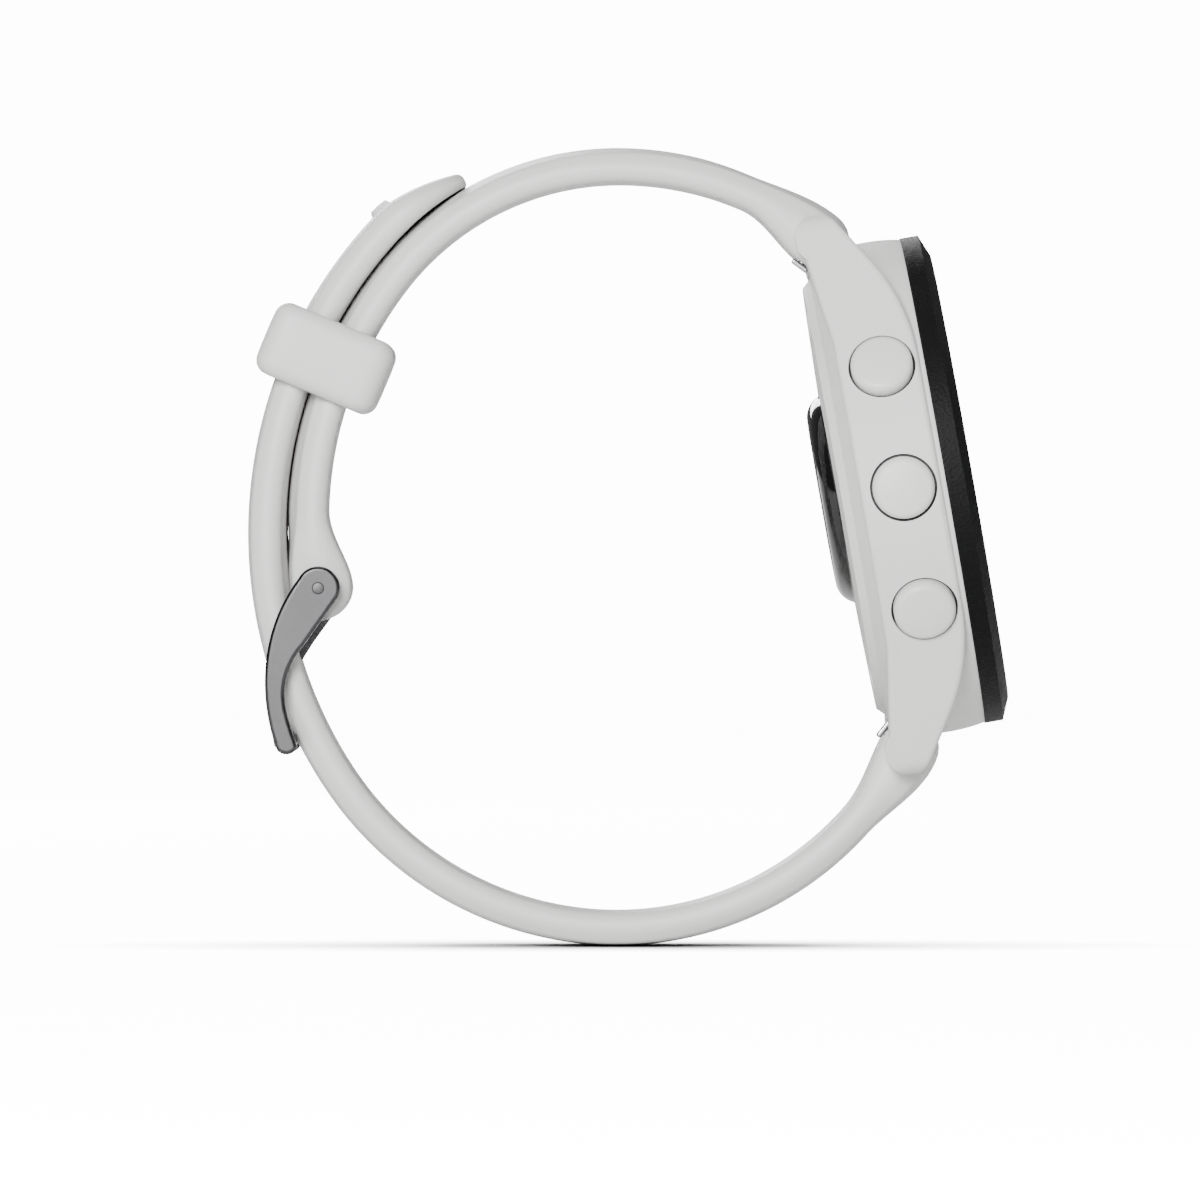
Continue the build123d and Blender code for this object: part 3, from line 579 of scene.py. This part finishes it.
# Lit fields are bright enough to read through the glass without glowing.
white_light = lit("display white", "#F2F4F5", 1.2)
blue_light = lit("display blue", "#2BA3E8", 1.3)
green_light = lit("display green", "#7BCB3A", 1.2)
ticks = [strip(13.6, 14.9, 90 - 6 * k - (0.9 if k % 5 == 0 else 0.35),
               90 - 6 * k + (0.9 if k % 5 == 0 else 0.35), 3) for k in range(60)]
time_marks = digits("10:09", -10.0, -2.3, 6.2, 1.4)
small_marks = digits("72", -6.6, -7.8, 2.2, 0.55) + digits("84", 4.0, -7.8, 2.2, 0.55) \
    + digits("12", -1.9, 6.2, 2.2, 0.55)
for name, shapes, material in (
        ("dial_marks", ticks + time_marks, white_light),
        ("dial_fields", small_marks + [strip(11.6, 12.3, 200, 268, 30)], green_light),
        ("dial_arcs", [strip(11.6, 12.3, 272, 340, 30), strip(10.2, 10.6, 55, 125, 24)],
         blue_light)):
    mesh(name, *slab(shapes, DIAL_Z, DIAL_Z + 0.02), material, "case")

# ---------------------------------------------------------------------------
# Optical sensor and charging port
# A black resin window seated in the back cover, with seven smoked panes over
# the lamps and printed rings round them. Below it a black moulded port holds
# four gold contacts.
# ---------------------------------------------------------------------------
# Polished black resin: mirror-like highlights on a domed edge.
sensor_black = finish("polished black resin", "#060607", 0.08, grain=1.5, depth=0.0005,
                      spread=0.03, Coat_Weight=0.5)
paint(sensor_black, "sensor_window")

# Windows over the lamps are smoked and slightly green, with a fine printed ring round them.
smoked = finish("smoked window", "#1C2B21", 0.12, grain=0.6, depth=0.0005)
printed = finish("printed grey", "#3A3B3D", 0.35, grain=0.2, depth=0.001)
SENSOR_FACE = -1.6


def pane(x, y, size, radius):
    """Outline of a square with round corners."""
    turns = [np.array([sx, sy]) * (size / 2 - radius) + radius * unit(np.linspace(a, a + 90, 5))
             for sx, sy, a in ((1, 1, 0), (-1, 1, 90), (-1, -1, 180), (1, -1, 270))]
    return np.concatenate(turns) + np.array([x, y])


panes = [pane(*(4.3 * unit(60.0 * k)), 1.9, 0.4) for k in range(6)] + [pane(0, 0, 2.6, 0.5)]
mesh("sensor_panes", *slab(panes, SENSOR_FACE - 0.012, SENSOR_FACE + 0.01), smoked, "case")
rings = [strip(r, r + 0.12, start, start + 84, 20) for r in (6.2, 6.75)
         for start in (3, 93, 183, 273)]
mesh("sensor_rings", *slab(rings, SENSOR_FACE - 0.012, SENSOR_FACE + 0.01), printed, "case")

# Moulded black gives the port, the vent and the inner frame a dull dark tone.
black_polymer = finish("moulded black", "#141414", 0.55, grain=0.15, depth=0.006)
paint(black_polymer, "charging_port", "pressure_vent", "chassis", "beeper")
# Gold flash on the contacts, bright against the black port.
gold = finish("gold plate", "#D9B25A", 0.22, grain=0.05, depth=0.0005, Metallic=1.0)
paint(gold, "charging_contacts")

# ---------------------------------------------------------------------------
# Buckle
# Stainless steel with a dark bead-blasted coating. Frame, tongue and pin are
# the CAD pieces; the pin passes through the boss of the upper strap half.
# ---------------------------------------------------------------------------
# Bead blasting leaves a fine sparkling grain and wide soft highlights on the flat faces; the edges
# and the narrow sides stay polished, so they draw thin bright and dark lines.
ARM_FACE, PIN = 12.2, (-26.9355, 31.2328)
buckle_steel = finish("blasted dark steel", "#525253", 0.36, grain=0.07, depth=0.01, tone=0.12,
                      Metallic=1.0)
place = add(buckle_steel, "TexCoord").outputs["Object"]
axes = add(buckle_steel, "SeparateXYZ", links={"Vector": place})
off = add(buckle_steel, "Math", {"operation": "SUBTRACT", 1: MID_Y * MM},
          {0: axes.outputs["Y"]})
off = add(buckle_steel, "Math", {"operation": "ABSOLUTE"}, {0: off.outputs[0]})
face = add(buckle_steel, "MapRange", {"From Min": (ARM_FACE - 0.08) * MM,
                                      "From Max": (ARM_FACE - 0.01) * MM,
                                      "To Min": 0.1, "To Max": 0.4}, {"Value": off.outputs[0]})
shader = buckle_steel.node_tree.nodes["Principled BSDF"]
buckle_steel.node_tree.links.new(face.outputs["Result"], shader.inputs["Roughness"])
paint(buckle_steel, "buckle_frame", "buckle_tongue", "buckle_pin")

# Each end of the pin shows as a small flat head in a fine dark gap; the gap is a thin black ring
# of painted shadow round the head.
pin_gap_shadow = finish("gap shadow", "#0A0A0A", 0.7, grain=0.1, depth=0.002)
for side, name in ((-1, "left"), (1, "right")):
    at = np.array([PIN[0], MID_Y + side * ARM_FACE, PIN[1]])
    for part, profile, material in (
            ("gap", [(0.54, -0.1), (0.54, 0.006), (0.4, 0.006)], pin_gap_shadow),
            ("head", [(0.45, -0.05), (0.45, 0.012), (0.44, 0.02), (0.43, 0.022), (0.02, 0.022)],
             buckle_steel)):
        points, faces, index = lathe(profile, at, (0, side, 0))
        mesh("pin_%s_%s" % (part, name), points, faces + [list(index[0]), list(index[-1])],
             material, "buckle_body")

# ---------------------------------------------------------------------------
# Spring bars, screws, clips and the pieces inside the case
# Bright steel bars hold the strap halves between the lugs, and four steel screws hold the back
# cover. Tubes, tips with their levers, screws and clips are CAD pieces. The coil springs are wire
# swept along a helix.
# ---------------------------------------------------------------------------
# Drawn steel is bright, with a little wear in its shine.
steel = finish("bright steel", "#C2C2C4", 0.25, grain=0.05, depth=0.001, Metallic=1.0)
paint(steel, "back_screws", "upper_bar_tube", "upper_bar_slider", "lower_bar_tube",
      "lower_bar_slider", "shield_can", "vibration_motor", "side_switches",
      *[n + "_clip" for n in SIDES])
COIL_LOW, COIL_HIGH, COIL_TURNS, COIL_R, WIRE_R = -3.03, 8.03, 12, 0.36, 0.11


def coil(axis):
    """Wire tube round a helix: points = centre + WIRE_R (cos a * outward + sin a * along Y)."""
    steps = np.linspace(0, 1, COIL_TURNS * 16 + 1)
    out = unit(360 * COIL_TURNS * steps)
    middle = np.column_stack([axis[0] + COIL_R * out[:, 0],
                              MID_Y + COIL_LOW + (COIL_HIGH - COIL_LOW) * steps,
                              axis[1] + COIL_R * out[:, 1]])
    outward = np.column_stack([out[:, 0], 0 * steps, out[:, 1]])
    around = unit(np.arange(8) * 45.0) * WIRE_R
    points = (middle[:, None] + around[None, :, :1] * outward[:, None]
              + around[None, :, 1:] * np.array([0, 1.0, 0]))
    index = np.arange(len(steps) * 8).reshape(-1, 8)
    faces = [list(index[0]), list(index[-1])]
    for a, b in zip(index[:-1], index[1:]):
        faces += quads(a, b)
    return points.reshape(-1, 3), faces


for side, axis in (("upper", UPPER[0]), ("lower", LOWER[0])):
    spring = mesh(side + "_coil", *coil(axis), steel, side + "_strap_body")
    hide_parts(side + "_bar_spring")
    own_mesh(spring)

# The aerial is a plated ring with a warm tone.
plated = finish("nickel plate", "#B9B2A3", 0.3, grain=0.1, depth=0.001, Metallic=1.0)
paint(plated, "antenna_ring")
# Nitrile seals are dull black.
nitrile = finish("nitrile rubber", "#17181A", 0.6, grain=0.1, depth=0.004)
paint(nitrile, "lens_seal", "back_cover_seal", *[n + "_seal" for n in SIDES])
# Solder mask is a glossy dark green.
mask = finish("solder mask", "#0E3B27", 0.3, grain=0.4, depth=0.004)
paint(mask, "main_board", "sensor_board")
# Clear resin over the lamps is pale and glossy.
resin = finish("clear lamp resin", "#DCE3CF", 0.15, grain=0.3, depth=0.001)
paint(resin, "sensor_leds")
# Laminated foil round the battery is a crinkled silver.
foil = finish("battery foil", "#A9ABAE", 0.3, grain=0.8, depth=0.03, Metallic=0.9)
paint(foil, "battery")

# ---------------------------------------------------------------------------
# Floor, light and camera
# Matt white paper under the watch, in a white room with four soft boxes. The paper glows for the
# camera away from the watch, so that it runs into the white behind; round the watch the glow fades
# out in an oval, a painted shade in which the lamps' own shadow under the strap shows.
# ---------------------------------------------------------------------------
# Seamless white paper, glowing a little as if lit from all round.
paper = finish("white paper", "#F6F6F6", 0.8, grain=0.3, depth=0.002, tone=0.005,
               Emission_Color=colour("#FFFFFF"), Emission_Strength=0.3)
corner = 3.0
data = bpy.data.meshes.new("floor")
data.from_pydata([(-corner, -corner, 0), (corner, -corner, 0), (corner, corner, 0),
                  (-corner, corner, 0)], [], [(0, 1, 2, 3)])
data.materials.append(paper)
floor = bpy.data.objects.new("floor", data)
bpy.context.scene.collection.objects.link(floor)

world = bpy.data.worlds.new("studio")
world.use_nodes = True
seen = add(world, "LightPath").outputs["Is Camera Ray"]
strength = add(world, "MapRange", {"To Min": 0.12, "To Max": 14.0}, {"Value": seen})
background = world.node_tree.nodes["Background"]
background.inputs["Color"].default_value = colour("#FFFFFF")
world.node_tree.links.new(strength.outputs["Result"], background.inputs["Strength"])
bpy.context.scene.world = world


def softbox(name, place, aim, size, power):
    """Square area light at a place in metres, turned to a point."""
    lamp = bpy.data.lights.new(name, "AREA")
    lamp.size, lamp.energy = size, power
    box = bpy.data.objects.new(name, lamp)
    box.location = place
    way = np.array(aim) - np.array(place)
    flat_length = math.hypot(way[0], way[1])
    box.rotation_euler = (math.atan2(flat_length, -way[2]), 0, math.atan2(-way[0], way[1]))
    bpy.context.scene.collection.objects.link(box)


# Painted shade on the floor: the glow fades to nothing in an oval round the watch's footprint, so
# the paper there is darker and lit only by the lamps.
glow = paper.node_tree.nodes["Principled BSDF"].inputs["Emission Strength"]
spot = add(paper, "VectorMath", {"operation": "MULTIPLY", 1: (32.0, 50.0, 0.0)},
           {0: add(paper, "TexCoord").outputs["Object"]})
away = add(paper, "VectorMath", {"operation": "LENGTH"}, {0: spot.outputs[0]})
glow_with_painted_shade = add(paper, "MapRange", {"From Min": 0.5, "From Max": 1.7, "To Min": 0.0, "To Max": 13.0},
           {"Value": away.outputs["Value"]})
glow_with_painted_shade = add(paper, "Math", {"operation": "MULTIPLY"},
           {0: glow_with_painted_shade.outputs["Result"], 1: add(paper, "LightPath").outputs["Is Camera Ray"]})
paper.node_tree.links.new(glow_with_painted_shade.outputs[0], glow)

softbox("key", (-0.25, -1.1, 0.4), (0, 0, 0.035), 0.4, 25.0)
softbox("top", (0.1, 0.1, 1.2), (0, 0, 0.035), 0.6, 3.0)
softbox("rear", (-0.3, 1.1, 0.5), (0, 0, 0.035), 0.5, 10.0)
softbox("dial side", (0.9, 0.6, 0.9), (0, 0, 0.035), 0.35, 4.0)

# Metres from the watch, and metres across the view there.
DISTANCE, VIEW_WIDTH = 1.9, 0.10482
camera = bpy.data.objects.new("camera", bpy.data.cameras.new("camera"))
camera.data.sensor_width = 36.0
camera.data.lens = camera.data.sensor_width * DISTANCE / VIEW_WIDTH
camera.data.shift_x, camera.data.shift_y = -1 / 120, -1 / 24
camera.data.clip_end = 20.0
camera.location = (-1.58 * MM, -DISTANCE, 34.55 * MM)
camera.rotation_euler = (math.pi / 2, 0, 0)
bpy.context.scene.collection.objects.link(camera)
bpy.context.scene.camera = camera
